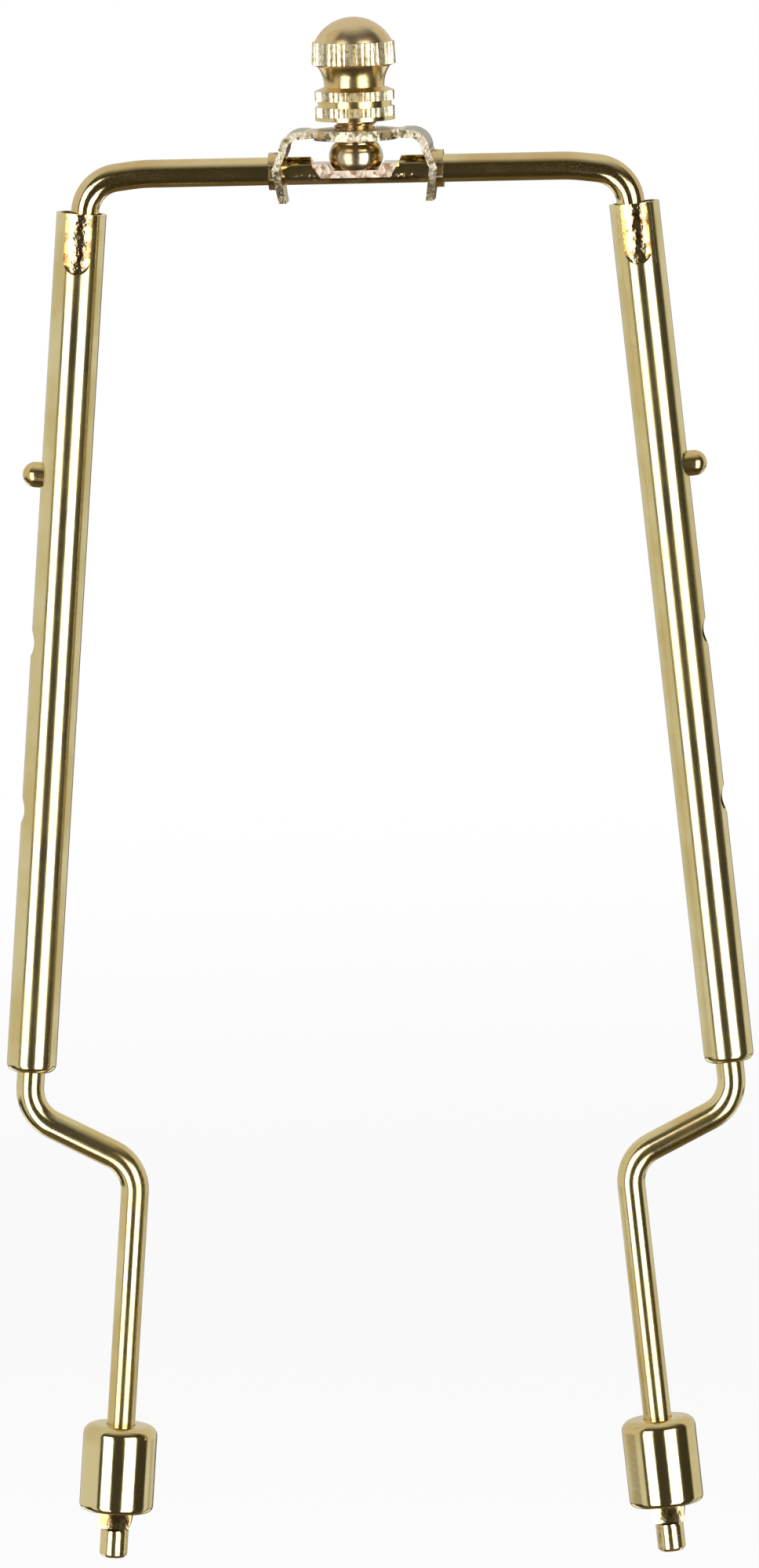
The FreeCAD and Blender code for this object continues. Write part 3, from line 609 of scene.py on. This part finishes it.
studFoot, studEnd = (corner[2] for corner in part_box("stud"))
threadSet = {
    "radius": 3.175 * mm,
    "pitch": 25.4 / 27 * mm,  # 27 threads to the inch
    "depth": 0.5 * mm,
    "crest": 0.12,  # share of half a pitch that stays at full radius
    "root": 0.88,  # and where the cut reaches its full depth
    "chamfer": 0.6 * mm,
    "sunk": 0.2 * mm,  # start of the thread, below the head's top
    "merge": 0.002 * mm,
    "sharp": 40,  # degrees, from which an edge is crisp
    "around": 72,
    "perTurn": 10,
    "headHeight": 3.8 * mm,
    "headFlat": 3.3 * mm,
    "headBulge": 2.8 * mm,
    "headSteps": 18,
}


def threadTree(values, length, metal):
    tree = bpy.data.node_groups.new("cutThread", "GeometryNodeTree")
    start = studFoot + values["headHeight"] - values["sunk"]
    numbers = {
        "Radius": values["radius"], "Pitch": values["pitch"], "Depth": values["depth"],
        "Length": length, "Chamfer": values["chamfer"], "Start": start,
    }
    for name, value in numbers.items():
        socket = tree.interface.new_socket(name, in_out="INPUT", socket_type="NodeSocketFloat")
        socket.default_value = value
    tree.interface.new_socket("Geometry", in_out="OUTPUT", socket_type="NodeSocketGeometry")
    given = put(tree, "NodeGroupInput").outputs
    grid = put(tree, "GeometryNodeMeshGrid")
    rows = round(length / values["pitch"] * values["perTurn"])
    feed(tree, grid.inputs["Size X"], 2 * math.pi)
    feed(tree, grid.inputs["Size Y"], given["Length"])
    feed(tree, grid.inputs["Vertices X"], values["around"] + 1)
    feed(tree, grid.inputs["Vertices Y"], rows + 1)
    split = put(tree, "ShaderNodeSeparateXYZ")
    feed(tree, split.inputs[0], put(tree, "GeometryNodeInputPosition").outputs[0])
    angle = split.outputs[0]
    height = calc(tree, "ADD", split.outputs[1], calc(tree, "DIVIDE", given["Length"], 2))
    climbed = calc(tree, "DIVIDE", height, given["Pitch"])
    turns = calc(tree, "SUBTRACT", climbed, calc(tree, "DIVIDE", angle, 2 * math.pi))
    halfway = calc(tree, "SUBTRACT", calc(tree, "FRACT", turns), 0.5)
    wave = calc(tree, "MULTIPLY", calc(tree, "ABSOLUTE", halfway), 2)  # 1 to 0 to 1 in each pitch
    flank = put(tree, "ShaderNodeMapRange")
    for socket, number in zip(flank.inputs, (wave, values["crest"], values["root"])):
        feed(tree, socket, number)
    runIn = ease(tree, height, 0.0, values["pitch"])
    cut = calc(tree, "MULTIPLY", calc(tree, "MULTIPLY", flank.outputs[0], runIn), given["Depth"])
    left = calc(tree, "SUBTRACT", given["Length"], height)
    end = calc(tree, "MAXIMUM", calc(tree, "SUBTRACT", given["Chamfer"], left), 0.0)
    radius = calc(tree, "SUBTRACT", given["Radius"], calc(tree, "MAXIMUM", cut, end))
    place = put(tree, "ShaderNodeCombineXYZ")
    feed(tree, place.inputs[0], calc(tree, "MULTIPLY", radius, calc(tree, "COSINE", angle)))
    feed(tree, place.inputs[1], calc(tree, "MULTIPLY", radius, calc(tree, "SINE", angle)))
    feed(tree, place.inputs[2], calc(tree, "ADD", height, given["Start"]))
    moved = put(tree, "GeometryNodeSetPosition")
    feed(tree, moved.inputs["Geometry"], grid.outputs[0])
    feed(tree, moved.inputs["Position"], place.outputs[0])
    joined = put(tree, "GeometryNodeMergeByDistance")
    feed(tree, joined.inputs["Geometry"], moved.outputs[0])
    feed(tree, joined.inputs["Distance"], values["merge"])
    real = put(tree, "GeometryNodeRealizeInstances")
    feed(tree, real.inputs[0], joined.outputs[0])
    dressed = put(tree, "GeometryNodeSetMaterial")
    feed(tree, dressed.inputs["Geometry"], real.outputs[0])
    dressed.inputs["Material"].default_value = metal
    feed(tree, put(tree, "NodeGroupOutput").inputs[0], dressed.outputs[0])
    return tree


def bakeTree(name, tree):
    holder = bpy.data.objects.new(name, bpy.data.meshes.new(name))
    bpy.context.scene.collection.objects.link(holder)
    modifier = holder.modifiers.new("nodes", "NODES")
    modifier.node_group = tree
    for socket in tree.interface.items_tree:
        if socket.in_out == "INPUT":
            modifier[socket.identifier] = socket.default_value
    ready = holder.evaluated_get(bpy.context.evaluated_depsgraph_get())
    mesh = bpy.data.meshes.new_from_object(ready)
    holder.modifiers.remove(modifier)
    holder.data = mesh
    return holder


def addHead(shape, values):
    half = values["headHeight"] / 2
    inset = math.sqrt(values["headBulge"] ** 2 - half ** 2)
    outline = [(0, -half)]
    for step in range(values["headSteps"] + 1):
        rise = half * (2 * step / values["headSteps"] - 1)
        bulge = math.sqrt(values["headBulge"] ** 2 - rise ** 2) - inset
        outline.append((values["headFlat"] + bulge, rise))
    outline.append((0, half))
    middle = studFoot + half
    line = [shape.verts.new((reach, 0, middle + rise)) for reach, rise in outline]
    edges = [shape.edges.new(pair) for pair in zip(line, line[1:])]
    bmesh.ops.spin(shape, geom=line + edges, cent=(0, 0, 0), axis=(0, 0, 1), angle=2 * math.pi,
                   steps=values["around"], use_merge=True)


def makeStud(values):
    length = studEnd - studFoot - values["headHeight"] + values["sunk"]
    stud = bakeTree("threadedStud", threadTree(values, length, materials["headedBrass"]))
    shape = bmesh.new()
    shape.from_mesh(stud.data)
    bmesh.ops.holes_fill(shape, edges=[edge for edge in shape.edges if edge.is_boundary], sides=0)
    addHead(shape, values)
    bmesh.ops.remove_doubles(shape, verts=shape.verts, dist=0.001 * mm)
    bmesh.ops.recalc_face_normals(shape, faces=shape.faces)
    shape.to_mesh(stud.data)
    shape.free()
    stud.data.materials.clear()
    stud.data.materials.append(materials["headedBrass"])
    for face in stud.data.polygons:
        face.material_index = 0
        face.use_smooth = len(face.vertices) < 5
    stud.data.set_sharp_from_angle(angle=math.radians(values["sharp"]))
    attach(stud, "stud")
    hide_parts("stud")


makeStud(threadSet)
say("stud")

bpy.context.scene.view_settings.view_transform = "Standard"
